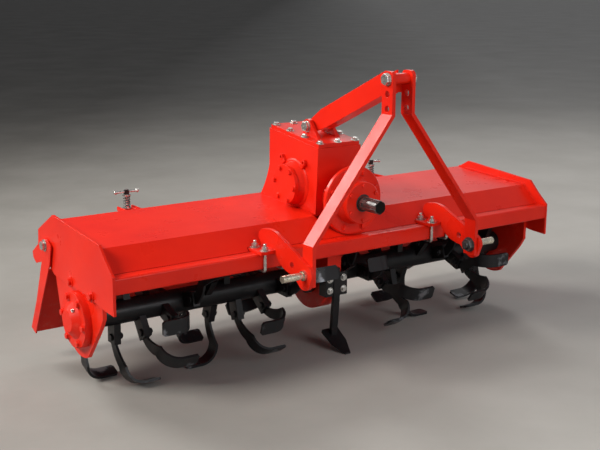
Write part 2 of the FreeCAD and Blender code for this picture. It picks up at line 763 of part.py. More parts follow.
def strut():
    # A channel that lies between the lugs behind and butts on the crosshead.
    length = math.hypot(LUG_PIN_Y - PIN_Y, MAST_PIN_Z - LUG_PIN_Z)
    front = [(CROSSHEAD_REAR, 0), (CROSSHEAD_REAR, 1)]
    top = [on_strut(0, STRUT_ABOVE), on_strut(length, STRUT_ABOVE)]
    bottom = [on_strut(0, -STRUT_BELOW), on_strut(length, -STRUT_BELOW)]
    web_top = [on_strut(0, STRUT_T - STRUT_BELOW), on_strut(length, STRUT_T - STRUT_BELOW)]
    outline = [
        crossing(front, top),
        crossing(front, bottom),
        on_strut(length - STRUT_WEB_START, -STRUT_BELOW),
        on_strut(length, -STRUT_END_R),
        on_strut(length, STRUT_END_R) + on_strut(length + STRUT_END_R, 0),
        on_strut(length - STRUT_WEB_START, STRUT_ABOVE),
    ]
    inside = STRUT_HALF - STRUT_T
    sides = [plate(outline, side * inside, side * STRUT_HALF) for side in SIDES.values()]
    web = [
        crossing(front, web_top),
        crossing(front, bottom),
        on_strut(length - STRUT_WEB_START, -STRUT_BELOW),
        on_strut(length - STRUT_WEB_START, STRUT_T - STRUT_BELOW),
    ]
    shape = plate(web, -STRUT_HALF, STRUT_HALF).fuse(sides)
    return shape.cut(lug_bore()).removeSplitter()


def strut_lugs():
    rear = LUG_PIN_Y + LUG_R
    solids = []
    for side in SIDES.values():
        outline = [
            (LUG_FOOT_FRONT, case_top(LUG_FOOT_FRONT, COVER_T)),
            (rear, case_top(rear, COVER_T)),
            (rear, LUG_PIN_Z),
            (LUG_PIN_Y - 17, LUG_PIN_Z + 17, LUG_PIN_Y + 9.2, LUG_PIN_Z + 22.2),
        ]
        lug = plate(outline, side * (MAST_HALF - LUG_T), side * MAST_HALF)
        solids.append(lug.cut(lug_bore()))
    return Part.makeCompound(solids)


def mast_crosshead():
    # A tube on the mast pin between the bars, and the plate behind the bars
    # that closes the strut's front end.
    inner = MAST_HALF - BAR_T
    low = on_strut(0, -STRUT_BELOW)[1] - 18
    high = MAST_PIN_Z + 10
    panel = box((-MAST_HALF, MAST_HALF), (BAR_REAR, CROSSHEAD_REAR), (low, high))
    spacer = x_rod(MAST_SPACER_R, -inner, inner, PIN_Y, MAST_PIN_Z)
    saddle = box((-inner, inner), (PIN_Y, BAR_REAR), (MAST_PIN_Z - 10, high))
    shape = panel.fuse([spacer, saddle])
    return shape.cut(x_rod(MAST_PIN_R, -inner, inner, PIN_Y, MAST_PIN_Z)).removeSplitter()


for name, side in SIDES.items():
    put(hitch_plate(side), "hitch_plate_" + name)
    put(hitch_pin(side), "hitch_pin_" + name)
    put(foot_plate(side), "clamp_foot_" + name)
    put(u_bolts(side), "u_bolts_" + name)
    put(mast_bar(side), "mast_bar_" + name)
put(cross_pin(MAST_HALF, PIN_Y, MAST_PIN_Z), "mast_pin")
put(cross_pin(MAST_HALF, LUG_PIN_Y, LUG_PIN_Z), "lug_pin")
put(strut(), "strut")
put(strut_lugs(), "strut_lugs")
put(mast_crosshead(), "mast_crosshead")


# Trailing board: a sheet that hangs from its hinge tube behind the rotor
BOARD_LENGTH = math.hypot(BOARD_FOOT[0] - HINGE_Y, BOARD_FOOT[1] - HINGE_Z)
BOARD_OUTER = HALF_WIDTH + BOARD_SIDE_GAP + BOARD_T
ROD_X = HALF_WIDTH - ROD_INSET


def on_board(down, back):
    # A section point given by its distances down the board and behind it.
    y = (BOARD_FOOT[0] - HINGE_Y) / BOARD_LENGTH
    z = (BOARD_FOOT[1] - HINGE_Z) / BOARD_LENGTH
    return (HINGE_Y + down * y - back * z, HINGE_Z + down * z + back * y)


ROD_EYE = on_board(ROD_EYE_DOWN, ROD_EYE_BACK)


def trailing_board():
    inner = ARM_INNER - BOARD_SIDE_GAP
    sheet_line = [
        on_board(8, 0),
        on_board(BOARD_LENGTH, 0),
        on_board(BOARD_LENGTH, BOARD_LIP),
        on_board(BOARD_LENGTH - BOARD_T, BOARD_LIP),
        on_board(BOARD_LENGTH - BOARD_T, BOARD_T),
        on_board(8, BOARD_T),
    ]
    board = plate(sheet_line, -BOARD_OUTER, BOARD_OUTER)
    # The end cheek hangs on the hinge, with a tab behind and a strip below.
    cheek = [
        on_board(-21, -43),
        on_board(-14, 20) + on_board(-24, -4),
        on_board(75, 82),
        on_board(91, 70),
        on_board(95, 44),
        on_board(66, 8),
        on_board(218, 13),
        on_board(BOARD_LENGTH, 28),
        on_board(BOARD_LENGTH, -8),
        on_board(190, -27),
        on_board(38, -49),
    ]
    for side in SIDES.values():
        board = board.cut(x_rod(BOARD_NOTCH_R, side * inner, side * (BOARD_OUTER + 1), HINGE_Y, HINGE_Z))
    for side in SIDES.values():
        board = board.fuse(plate(cheek, side * (BOARD_OUTER - BOARD_T), side * BOARD_OUTER))
        board = board.fuse(rod_ears(side))
    board = board.fuse(x_rod(HINGE_TUBE_R, -inner, inner, HINGE_Y, HINGE_Z))
    bore = x_rod(HINGE_BOLT_R + RUNNING_CLEARANCE, -BOARD_OUTER, BOARD_OUTER, HINGE_Y, HINGE_Z)
    return board.cut(bore).removeSplitter()


def rod_ears(side):
    # Two ears and the pin that holds the spring rod's eye between them.
    outline = [
        on_board(ROD_EYE_DOWN - EAR_FOOT, BOARD_T),
        on_board(ROD_EYE_DOWN - 12, ROD_EYE_BACK),
        on_board(ROD_EYE_DOWN + 12, ROD_EYE_BACK) + on_board(ROD_EYE_DOWN, ROD_EYE_BACK + 12),
        on_board(ROD_EYE_DOWN + EAR_FOOT, BOARD_T),
    ]
    near = ROD_EYE_T / 2 + EAR_GAP
    reach = near + EAR_T
    middle = side * ROD_X
    pin = x_rod(ROD_PIN_R, middle - reach - 4, middle + reach + 4, *ROD_EYE)
    ears = [plate(outline, middle + near, middle + reach), plate(outline, middle - reach, middle - near)]
    return pin.fuse(ears)


def rod_line():
    # Start, unit direction and length of the rod from its eye to its top.
    start = Vector(0, *ROD_EYE)
    direction = Vector(0, ROD_GUIDE_Y, GUIDE_TOP_Z) - start
    direction.normalize()
    return start, direction, (ROD_TOP_Z - start.z) / direction.z


def rod_disc(radius, z_low, height):
    start, direction, _ = rod_line()
    base = start + direction * ((z_low - start.z) / direction.z)
    return Part.makeCylinder(radius, height, base, direction)


def spring_rod(side):
    start, direction, length = rod_line()
    eye = x_rod(ROD_EYE_R, -ROD_EYE_T / 2, ROD_EYE_T / 2, start.y, start.z)
    eye = eye.cut(x_rod(ROD_PIN_R + RUNNING_CLEARANCE, -ROD_EYE_T, ROD_EYE_T, start.y, start.z))
    shank_start = start + direction * (ROD_PIN_R + 2)
    shank = Part.makeCylinder(ROD_R, length - ROD_PIN_R - 2, shank_start, direction)
    handle_at = start + direction * (length - HANDLE_R - 4)
    handle = x_rod(HANDLE_R, -HANDLE_HALF, HANDLE_HALF, handle_at.y, handle_at.z)
    spring_low = GUIDE_TOP_Z + SEAT_GAP
    low = rod_disc(WASHER_R, spring_low, WASHER_T)
    high = rod_disc(WASHER_R, spring_low + WASHER_T + SPRING_HEIGHT + 2 * SPRING_WIRE_R, WASHER_T)
    rod = eye.fuse(shank).fuse(handle).fuse(low).fuse(high)
    rod.translate(Vector(side * ROD_X, 0, 0))
    return rod


def adjust_spring(side):
    start, direction, _ = rod_line()
    z_low = GUIDE_TOP_Z + SEAT_GAP + WASHER_T + SPRING_WIRE_R
    base = start + direction * ((z_low - start.z) / direction.z)
    helix = Part.makeHelix(SPRING_PITCH, SPRING_HEIGHT, SPRING_R)
    circle = Part.makeCircle(SPRING_WIRE_R, Vector(SPRING_R, 0, 0), Vector(0, 1, 0))
    spring = Part.Wire(helix).makePipeShell([Part.Wire([circle])], True, True)
    lean = math.degrees(math.atan2(-direction.y, direction.z))
    spring.rotate(Vector(0, 0, 0), Vector(1, 0, 0), lean)
    spring.translate(Vector(side * ROD_X, base.y, base.z))
    return spring


def rod_guide(side):
    # A channel that reaches back from the deck's rear slope, with a slot in
    # its floor for the rod. Its cheeks taper towards the rear.
    slope_y, slope_z = DECK_REAR_EDGE
    lip_y, lip_z = DECK_REAR_LIP

    def on_slope(y):
        return slope_z + (y - slope_y) / (lip_y - slope_y) * (lip_z - slope_z)

    middle = side * ROD_X
    under = GUIDE_TOP_Z - GUIDE_T
    floor_line = [
        (GUIDE_FRONT_Y, on_slope(GUIDE_FRONT_Y)),
        (GUIDE_FRONT_Y + 6, on_slope(GUIDE_FRONT_Y + 6)),
        (lip_y, under),
        (GUIDE_REAR_Y, under),
        (GUIDE_REAR_Y, GUIDE_TOP_Z),
        (lip_y - 8, GUIDE_TOP_Z),
    ]
    cheek_line = [
        (GUIDE_FRONT_Y, on_slope(GUIDE_FRONT_Y)),
        (lip_y, lip_z),
        (GUIDE_REAR_Y, under),
        (GUIDE_REAR_Y, GUIDE_TOP_Z + GUIDE_RISE),
        (lip_y - 8, GUIDE_TOP_Z + GUIDE_RISE),
    ]
    channel = plate(floor_line, middle - GUIDE_HALF, middle + GUIDE_HALF)
    for edge in (-GUIDE_HALF, GUIDE_HALF - GUIDE_T):
        channel = channel.fuse(plate(cheek_line, middle + edge, middle + edge + GUIDE_T))
    slot_half = ROD_R + GUIDE_SLOT_PLAY
    slot_y = (ROD_GUIDE_Y - slot_half - ROD_SWAY, ROD_GUIDE_Y + slot_half + ROD_SWAY)
    slot = box((middle - slot_half, middle + slot_half), slot_y, (under - 1, GUIDE_TOP_Z + 1))
    return channel.cut(slot).removeSplitter()


def hinge_bolt(side):
    outer = BOARD_OUTER
    shank = x_rod(HINGE_BOLT_R, side * (ARM_INNER - 40), side * (outer + 1), HINGE_Y, HINGE_Z)
    head = x_rod(HINGE_BOLT_R + 4, side * (outer + 1), side * (outer + 8), HINGE_Y, HINGE_Z)
    return shank.fuse(head).removeSplitter()


put(trailing_board(), "trailing_board")
for name, side in SIDES.items():
    put(hinge_bolt(side), "hinge_bolt_" + name)
    put(spring_rod(side), "spring_rod_" + name)
    put(adjust_spring(side), "adjust_spring_" + name)
    put(rod_guide(side), "rod_guide_" + name)


# Rotor: two tubes with blade sockets, bolted to the lower case's hub
def swing_point(degrees, radius):
    # A point at an angle from straight down, positive towards -Y.
    angle = math.radians(degrees)
    return Vector(0, -radius * math.sin(angle), -radius * math.cos(angle))


def blade(lateral):
    # One blade that points down from the rotor axis at the origin, swept
    # towards -Y, with its tip turned towards lateral * X. The tip's outer
    # face is a chord of the swing circle.
    half = LEG_WIDTH / 2
    outward = swing_point((TIP_START_DEG + TIP_END_DEG) / 2, 1.0)
    depth = BEND_INNER_R + LEG_T
    heel = swing_point(TIP_START_DEG, BLADE_SWING_R) - outward * depth
    toe = swing_point(TIP_END_DEG, BLADE_SWING_R) - outward * depth
    neck = SOCKET_END_R + NECK_LENGTH
    outline = [
        (-half, -LEG_START_R),
        (half, -LEG_START_R),
        (half, -neck),
        (heel.y, heel.z, (half + heel.y) / 2 + LEG_BULGE, (heel.z - neck) / 2),
        (toe.y, toe.z),
        (-half, -neck, (toe.y - half) / 2 + LEG_HOLLOW, (toe.z - neck) / 2),
    ]
    leg = plate(outline, -LEG_T / 2, LEG_T / 2)
    along = toe - heel
    width = along.Length
    along.normalize()
    thick = Vector(lateral * LEG_T, 0, 0)
    near = heel - thick * 0.5
    end_face = Part.Face(Part.makePolygon([
        near,
        near + along * width,
        near + along * width + thick,
        near + thick,
        near,
    ]))
    pivot = heel + thick * 0.5 + Vector(lateral * BEND_INNER_R, 0, 0)
    bend = end_face.revolve(pivot, along * lateral, 90)
    corners = [
        (0, 0),
        (0, TIP_REACH - TIP_CORNER),
        (TIP_CORNER, TIP_REACH),
        (width - TIP_CORNER, TIP_REACH),
        (width, TIP_REACH - TIP_CORNER),
        (width, 0),
    ]
    base = pivot + outward * BEND_INNER_R
    points = [base + along * a + Vector(lateral * b, 0, 0) for a, b in corners]
    tip = Part.Face(Part.makePolygon(points + points[:1])).extrude(outward * LEG_T)
    return leg.fuse([bend, tip]).removeSplitter()


def socket():
    half_y = LEG_WIDTH / 2 + SOCKET_WALL
    half_x = LEG_T / 2 + SOCKET_WALL
    block = box((-half_x, half_x), (-half_y, half_y), (-SOCKET_END_R, -ROTOR_TUBE_R + 6))
    room = box((-LEG_T / 2, LEG_T / 2), (-LEG_WIDTH / 2, LEG_WIDTH / 2), (-SOCKET_END_R, -LEG_START_R))
    return block.cut(room)


def blade_table(side):
    # Rows of (x, turn in degrees, lateral direction of the tip).
    pitch = (ARM_INNER - LAST_BLADE_GAP - FIRST_BLADE_X) / (BLADES_PER_HALF - 1)
    rows = []
    for index in range(BLADES_PER_HALF):
        # Tips point out and in by pairs. The last three point in, clear of the arm.
        at_arm = index >= BLADES_PER_HALF - 3
        inward = at_arm or index % 4 in (2, 3)
        turn = FIRST_BLADE_DEG + index * BLADE_STEP_DEG
        rows.append((side * (FIRST_BLADE_X + pitch * index), turn, -side if inward else side))
    return rows


def rotor_half(side):
    start = LOWER_CASE_HALF + SIDE_PLAY
    end = ARM_INNER - SIDE_PLAY
    tube_r = ROTOR_TUBE_R
    inner_r = ROTOR_TUBE_R - ROTOR_TUBE_WALL
    profile = [
        (side * 0.25, 0),
        (side * 0.25, HUB_R),
        (side * start, HUB_R),
        (side * start, HUB_FLANGE_R),
        (side * (start + HUB_FLANGE_T), HUB_FLANGE_R),
        (side * (start + HUB_FLANGE_T), tube_r),
        (side * end, tube_r),
        (side * end, STUB_R),
        (side * (PLATE_INNER + STUB_REACH - SIDE_PLAY), STUB_R),
        (side * (PLATE_INNER + STUB_REACH - SIDE_PLAY), 0),
        (side * (end - 20), 0),
        (side * (end - 20), inner_r),
        (side * (start + HUB_FLANGE_T), inner_r),
        (side * (start + HUB_FLANGE_T), 0),
    ]
    body = turned(profile, Vector(0, 0, 0), "X")
    sockets = []
    for x, turn, lateral in blade_table(side):
        piece = socket()
        piece.rotate(Vector(0, 0, 0), Vector(1, 0, 0), turn)
        piece.translate(Vector(x, 0, 0))
        sockets.append(piece)
    body = body.fuse(sockets)
    body.translate(Vector(0, 0, ROTOR_Z))
    return body


def blades(side):
    patterns = {1: blade(1), -1: blade(-1)}
    solids = []
    for x, turn, lateral in blade_table(side):
        piece = patterns[lateral].copy()
        piece.rotate(Vector(0, 0, 0), Vector(1, 0, 0), turn)
        piece.translate(Vector(x, 0, ROTOR_Z))
        solids.append(piece)
    return Part.makeCompound(solids)


for name, side in SIDES.items():
    put(rotor_half(side), "rotor_tube_" + name)
    put(blades(side), "blades_" + name)
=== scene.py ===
import math

import bmesh
import bpy
from mathutils import Matrix, Vector


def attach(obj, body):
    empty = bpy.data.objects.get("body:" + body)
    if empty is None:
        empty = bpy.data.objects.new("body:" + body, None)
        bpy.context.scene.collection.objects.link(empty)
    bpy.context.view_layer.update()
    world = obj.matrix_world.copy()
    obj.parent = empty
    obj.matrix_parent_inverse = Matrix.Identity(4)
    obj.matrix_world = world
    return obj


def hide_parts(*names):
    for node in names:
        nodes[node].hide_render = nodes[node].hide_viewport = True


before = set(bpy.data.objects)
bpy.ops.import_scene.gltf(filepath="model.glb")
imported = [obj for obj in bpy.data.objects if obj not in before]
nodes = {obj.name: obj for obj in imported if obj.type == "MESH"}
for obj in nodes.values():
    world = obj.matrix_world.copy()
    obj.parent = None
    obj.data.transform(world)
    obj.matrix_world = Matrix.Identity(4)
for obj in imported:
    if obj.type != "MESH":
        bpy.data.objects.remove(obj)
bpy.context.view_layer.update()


# The camera stands off the near end at a person's eye height, bent a little,
# and looks down along the machine's front through a longish lens.
EYE = (-2.092, -2.830, 1.247)
TURNED_DEG = -35.25
DOWN_DEG = 13.35
ROLLED_DEG = 0.33

camera = bpy.data.objects.new("camera", bpy.data.cameras.new("camera"))
bpy.context.scene.collection.objects.link(camera)
camera.matrix_world = (
    Matrix.Translation(EYE)
    @ Matrix.Rotation(math.radians(TURNED_DEG), 4, "Z")
    @ Matrix.Rotation(math.radians(90 - DOWN_DEG), 4, "X")
    @ Matrix.Rotation(math.radians(ROLLED_DEG), 4, "Z")
)
camera.data.lens = 64.54
camera.data.sensor_width = 36.0
camera.data.clip_end = 200.0
bpy.context.scene.camera = camera


# The yard's floor is pale trowelled concrete that fills the picture, cloudy
# and darkened towards the far left by painted shade. The sky over it is dull,
# and brighter beyond the machine's far end.
def mesh_object(name, bm, smooth=False):
    mesh = bpy.data.meshes.new(name)
    bm.to_mesh(mesh)
    bm.free()
    for face in mesh.polygons:
        face.use_smooth = smooth
    thing = bpy.data.objects.new(name, mesh)
    bpy.context.scene.collection.objects.link(thing)
    return thing


def new_material(name):
    material = bpy.data.materials.new(name)
    material.use_nodes = True
    tree = material.node_tree
    return material, tree, tree.nodes["Principled BSDF"]


def noise(tree, scale, detail=3.0, roughness=0.55, stretch=(1, 1, 1)):
    # A noise on the piece's own metres, drawn out along an axis by stretch.
    place = tree.nodes.new("ShaderNodeTexCoord")
    mapping = tree.nodes.new("ShaderNodeMapping")
    mapping.inputs["Scale"].default_value = stretch
    tree.links.new(place.outputs["Object"], mapping.inputs["Vector"])
    cloud = tree.nodes.new("ShaderNodeTexNoise")
    cloud.inputs["Scale"].default_value = scale
    cloud.inputs["Detail"].default_value = detail
    cloud.inputs["Roughness"].default_value = roughness
    tree.links.new(mapping.outputs["Vector"], cloud.inputs["Vector"])
    return cloud.outputs["Fac"]


def spread(tree, value, low, high, to_low=0.0, to_high=1.0):
    # The value between low and high, stretched to the given range.
    remap = tree.nodes.new("ShaderNodeMapRange")
    remap.inputs["From Min"].default_value = low
    remap.inputs["From Max"].default_value = high
    remap.inputs["To Min"].default_value = to_low
    remap.inputs["To Max"].default_value = to_high
    tree.links.new(value, remap.inputs["Value"])
    return remap.outputs["Result"]


def mixed(tree, factor, first, second):
    # A colour between two, each a plain colour or another node's output.
    mix = tree.nodes.new("ShaderNodeMix")
    mix.data_type = "RGBA"
    tree.links.new(factor, mix.inputs["Factor"])
    for socket, colour in (("A", first), ("B", second)):
        target = [s for s in mix.inputs if s.name == socket and s.type == "RGBA"][0]
        if isinstance(colour, tuple):
            target.default_value = (*colour, 1)
        else:
            tree.links.new(colour, target)
    return [s for s in mix.outputs if s.type == "RGBA"][0]


def bumped(tree, shader, height, strength, distance):
    # A fine relief on the surface; the node comes back for what goes under it.
    bump = tree.nodes.new("ShaderNodeBump")
    bump.inputs["Strength"].default_value = strength
    bump.inputs["Distance"].default_value = distance
    tree.links.new(height, bump.inputs["Height"])
    tree.links.new(bump.outputs["Normal"], shader.inputs["Normal"])
    return bump


def position(tree, space="Object"):
    # The X, Y and Z of the point that is seen.
    place = tree.nodes.new("ShaderNodeTexCoord")
    split = tree.nodes.new("ShaderNodeSeparateXYZ")
    tree.links.new(place.outputs[space], split.inputs["Vector"])
    return split.outputs


YARD_HALF = 80.0
TOWARDS_LIT = (0.8, -0.6, 0.0)

bm = bmesh.new()
bmesh.ops.create_grid(bm, x_segments=1, y_segments=1, size=YARD_HALF)
floor = mesh_object("floor", bm)
concrete, tree, shader = new_material("pale_concrete")
cloudy = spread(tree, noise(tree, 1.6, detail=5.0, roughness=0.6), 0.35, 0.7)
# Painted shade: the floor's colour goes from a dark shaded grey at the far left to a lit grey
# towards the far side.
shaded_grey = mixed(tree, cloudy, (0.13, 0.123, 0.110), (0.17, 0.161, 0.146))
lit_grey = mixed(tree, cloudy, (0.53, 0.51, 0.475), (0.60, 0.58, 0.545))
place = tree.nodes.new("ShaderNodeTexCoord")
along = tree.nodes.new("ShaderNodeVectorMath")
along.operation = "DOT_PRODUCT"
along.inputs[1].default_value = TOWARDS_LIT
tree.links.new(place.outputs["Object"], along.inputs[0])
lit_share = spread(tree, along.outputs["Value"], -2.2, 2.0)
tree.links.new(mixed(tree, lit_share, shaded_grey, lit_grey), shader.inputs["Base Color"])
shader.inputs["Roughness"].default_value = 0.8
bumped(tree, shader, noise(tree, 120.0, detail=2.0), strength=0.12, distance=0.002)
floor.data.materials.append(concrete)

sky = bpy.data.worlds.new("sky")
sky.use_nodes = True
tree = sky.node_tree
background = tree.nodes["Background"]
brightness = spread(tree, position(tree, "Generated")["X"], 0.42, 0.80)
dull = mixed(tree, brightness, (0.11, 0.113, 0.12), (0.46, 0.47, 0.49))
tree.links.new(dull, background.inputs["Color"])
background.inputs["Strength"].default_value = 1.0
bpy.context.scene.world = sky
bpy.context.scene.view_settings.view_transform = "Standard"


# The key is a broad warm lamp, high beyond the near end. The glare lamp behind
# pales the slanting part of the near mast bar, a weak cool lamp fills the
# front, and one behind the far end draws bright lines along the edges.
def lamp(name, place, target, size, power, colour):
    light = bpy.data.lights.new(name, "AREA")
    light.shape = "DISK"
    light.size = size
    light.energy = power
    light.color = colour
    thing = bpy.data.objects.new(name, light)
    thing.location = place
    thing.rotation_euler = (Vector(target) - Vector(place)).to_track_quat("-Z", "Y").to_euler()
    bpy.context.scene.collection.objects.link(thing)


lamp("key", (-4.8, 0.3, 3.7), (0, 0, 0.4), size=2.2, power=278, colour=(1.0, 0.96, 0.90))
lamp("glare", (-1.8, 3.2, 2.85), (-0.2, -0.4, 0.65), size=1.9, power=135, colour=(1.0, 0.98, 0.95))
lamp("front", (0.6, -5.0, 2.4), (0, 0, 0.4), size=3.0, power=102, colour=(0.97, 0.98, 1.0))
lamp("far", (3.2, 3.0, 3.7), (0.3, -0.2, 0.5), size=1.4, power=45, colour=(1.0, 0.99, 0.97))


# Deck, beams, end plates and arms: bent and cut steel sheet, welded, then
# sprayed signal red in a gloss that shows a faint orange-peel skin and thin
# dust on its lower parts.
RED = (0.82, 0.020, 0.005)
DEEP_RED = (0.70, 0.012, 0.004)
DUST = (0.42, 0.30, 0.22)
DUST_STARTS_Z = 0.32
DUST_FULL_Z = 0.06
EDGE_ROUND = 0.0016


def calculated(tree, operation, first, second):
    # One step of arithmetic; the second value may be a plain number.
    step = tree.nodes.new("ShaderNodeMath")
    step.operation = operation
    tree.links.new(first, step.inputs[0])
    if isinstance(second, float):
        step.inputs[1].default_value = second
    else:
        tree.links.new(second, step.inputs[1])
    return step.outputs["Value"]


def wandering_gloss(tree, shader, scale, smoothest, dullest, detail=3.0):
    # A roughness that wanders between two values in soft patches.
    patches = noise(tree, scale, detail)
    gloss = spread(tree, patches, 0.3, 0.7, smoothest, dullest)
    tree.links.new(gloss, shader.inputs["Roughness"])


def red_paint(name, peel_scale, peel_depth, roughness):
    material, tree, shader = new_material(name)
    tone = spread(tree, noise(tree, 5.0), 0.3, 0.75)
    colour = mixed(tree, tone, RED, DEEP_RED)
    # Dust lies in specks, thicker towards the ground.
    low = spread(tree, position(tree)["Z"], DUST_STARTS_Z, DUST_FULL_Z)
    specks = spread(tree, noise(tree, 38.0, detail=5.0, roughness=0.7), 0.52, 0.74)
    dusty = calculated(tree, "MULTIPLY", low, specks)
    amount = spread(tree, dusty, 0.0, 1.0, to_low=0.003, to_high=0.34)
    tree.links.new(mixed(tree, amount, colour, DUST), shader.inputs["Base Color"])
    wandering_gloss(tree, shader, 9.0, roughness - 0.05, roughness + 0.08, detail=4.0)
    shader.inputs["IOR"].default_value = 1.36
    shader.inputs["Specular IOR Level"].default_value = 0.36
    shader.inputs["Coat Weight"].default_value = 0.05
    shader.inputs["Coat Roughness"].default_value = 0.12
    peel = noise(tree, peel_scale, detail=2.0)
    bump = bumped(tree, shader, peel, strength=0.25, distance=peel_depth)
    # Sheared and flame-cut edges are a little rounded under the paint.
    rounded = tree.nodes.new("ShaderNodeBevel")
    rounded.samples = 4
    rounded.inputs["Radius"].default_value = EDGE_ROUND
    tree.links.new(rounded.outputs["Normal"], bump.inputs["Normal"])
    return material


def finish_node(name, material):
    piece = nodes[name]
    piece.data.materials.clear()
    piece.data.materials.append(material)


sheet_red = red_paint("sheet_red", peel_scale=260.0, peel_depth=0.0006, roughness=0.30)
for name in ("deck", "front_beam", "rear_rail"):
    finish_node(name, sheet_red)
for name in ("end_plate", "side_arm"):
    finish_node(name + "_left", sheet_red)
    finish_node(name + "_right", sheet_red)


# Fasteners are cold-headed steel: a hexagon with a chamfered top on a thin
# washer, and a stub of thread above a nut. The ones that hold the side arms to
# the end plates went in before the paint, so they are red.

# These five are shares of the hexagon's width across its flats.
WASHER_R = 0.78125
WASHER_T = 0.11
HEX_CHAMFER = 0.045
THREAD_R = 0.30
THREAD_TIP_R = 0.25


def stand(axis, at):
    return Matrix.Translation(at) @ Vector(axis).to_track_quat("Z", "Y").to_matrix().to_4x4()


def add_disc(bm, place, radius, height, base=0.0, segments=24, top=None):
    # A short cylinder or cone that stands on a seat, base above it.
    bmesh.ops.create_cone(
        bm,
        cap_ends=True,
        segments=segments,
        radius1=radius,
        radius2=radius if top is None else top,
        depth=height,
        matrix=place @ Matrix.Translation((0, 0, base + height / 2)),
    )


def add_hexagon(bm, place, across, height, base=0.0, turn=0.0):
    # A head or nut, across its flats, with rounded corners.
    lifted = place @ Matrix.Translation((0, 0, base + height / 2))
    made = bmesh.ops.create_cone(
        bm,
        cap_ends=True,
        segments=6,
        radius1=across / math.sqrt(3),
        radius2=across / math.sqrt(3),
        depth=height,
        matrix=lifted @ Matrix.Rotation(turn, 4, "Z"),
    )
    edges = {edge for vert in made["verts"] for edge in vert.link_edges}
    bmesh.ops.bevel(
        bm,
        geom=list(edges),
        offset=across * HEX_CHAMFER,
        segments=2,
        profile=0.5,
        affect="EDGES",
        material=-1,
    )


def add_bolt(bm, at, axis, across, height, washer=WASHER_R, stub=0.0, turn=0.0):
    # A head or nut on its washer, whose radius is a share of the hexagon's
    # width; stub is how far the thread stands out, turn where it was tightened.
    place = stand(axis, at)
    base = 0.0
    if washer:
        base = across * WASHER_T
        add_disc(bm, place, across * washer, base)
    add_hexagon(bm, place, across, height, base, turn)
    if stub:
        seat, straight, tip = base + height, stub * 0.85, stub * 0.15
        thread, end = across * THREAD_R, across * THREAD_TIP_R
        add_disc(bm, place, thread, straight, seat, segments=16)
        add_disc(bm, place, thread, tip, seat + straight, segments=16, top=end)


def finish(name, bm, material, body, smooth=False):
    thing = mesh_object(name, bm, smooth)
    thing.data.materials.append(material)
    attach(thing, body)
    return thing


END_PLATE_X = 0.870
ARM_INNER_X = 0.850
ARM_BOLTS = ((0.0853, 0.336), (-0.0627, 0.327))

bm = bmesh.new()
for side in (-1, 1):
    for y, z in ARM_BOLTS:
        add_bolt(
            bm,
            (side * END_PLATE_X, y, z),
            (side, 0, 0),
            across=0.021,
            height=0.0085,
            washer=0.8125,
            turn=y * 9,
        )
        add_bolt(
            bm,
            (side * ARM_INNER_X, y, z),
            (-side, 0, 0),
            across=0.021,
            height=0.010,
            washer=0.8125,
            stub=0.005,
        )
finish("arm_bolts", bm, sheet_red, "frame")


# Continuous fillet welds join the deck to the end plates, and a short one each
# side arm to its end plate; under the paint they show as low rows of ripples.
PLATE_WELDS = (
    # x, start and end as (y, z), size of a bead
    (0.8615, (0.252, 0.4915), (-0.094, 0.4755), 0.0035),
    (0.8615, (-0.098, 0.473), (-0.155, 0.4165), 0.0035),
    (0.862, (0.2055, 0.404), (0.221, 0.352), 0.003),
)


def add_weld(bm, start, end, size):
    # A row of flattened beads, each a little larger or smaller than the next.
    start, end = Vector(start), Vector(end)
    run = end - start
    count = max(2, int(run.length / (size * 1.15)))
    along = run.to_track_quat("Z", "Y").to_matrix().to_4x4()
    for index in range(count + 1):
        middle = start + run * (index / count)
        bmesh.ops.create_icosphere(
            bm,
            subdivisions=1,
            radius=size * (1.0 + 0.10 * math.sin(index * 2.3)),
            matrix=Matrix.Translation(middle) @ along @ Matrix.Diagonal((1, 1, 0.9, 1)),
        )


bm = bmesh.new()
for side in (-1, 1):
    for x, start, end, size in PLATE_WELDS:
        add_weld(bm, (side * x, *start), (side * x, *end), size)
finish("plate_welds", bm, sheet_red, "frame", smooth=True)


# Bearing housings and caps: turned cast iron, painted with the frame. Six
# bolts hold each cap, and a grease nipple stands square on its cone.
AXIS_Y = 0.0443
AXIS_Z = 0.230
CAP_FACE_X = 0.884
CAP_BOLT_R = 0.0735
CONE_MIDDLE_X = 0.894
CONE_MIDDLE_R = 0.046
CONE_LENGTH = 0.020
CONE_FALL = 0.024
NIPPLE_DEG = 125


def around_x(degrees):
    # The direction that stands out from an X axis at this angle.
    return Vector((0, math.cos(math.radians(degrees)), math.sin(math.radians(degrees))))


cast_red = red_paint("cast_red", peel_scale=95.0, peel_depth=0.0022, roughness=0.40)
for side_name, side in (("left", 1), ("right", -1)):
    finish_node("bearing_housing_" + side_name, cast_red)
    finish_node("bearing_cap_" + side_name, cast_red)
    bm = bmesh.new()
    for index in range(6):
        degrees = 5 + 60 * index
        at = Vector((side * CAP_FACE_X, AXIS_Y, AXIS_Z)) + around_x(degrees) * CAP_BOLT_R
        add_bolt(bm, at, (side, 0, 0), across=0.0175, height=0.0075, turn=math.radians(degrees))
    finish("cap_bolts_" + side_name, bm, cast_red, "frame")

zinc, tree, shader = new_material("zinc_plate")
stain = spread(tree, noise(tree, 160.0, detail=4.0), 0.35, 0.75)
plated = mixed(tree, stain, (0.66, 0.65, 0.62), (0.40, 0.39, 0.37))
tree.links.new(plated, shader.inputs["Base Color"])
shader.inputs["Metallic"].default_value = 0.85
wandering_gloss(tree, shader, 60.0, smoothest=0.20, dullest=0.36)
bumped(tree, shader, noise(tree, 500.0, detail=2.0), strength=0.15, distance=0.0004)

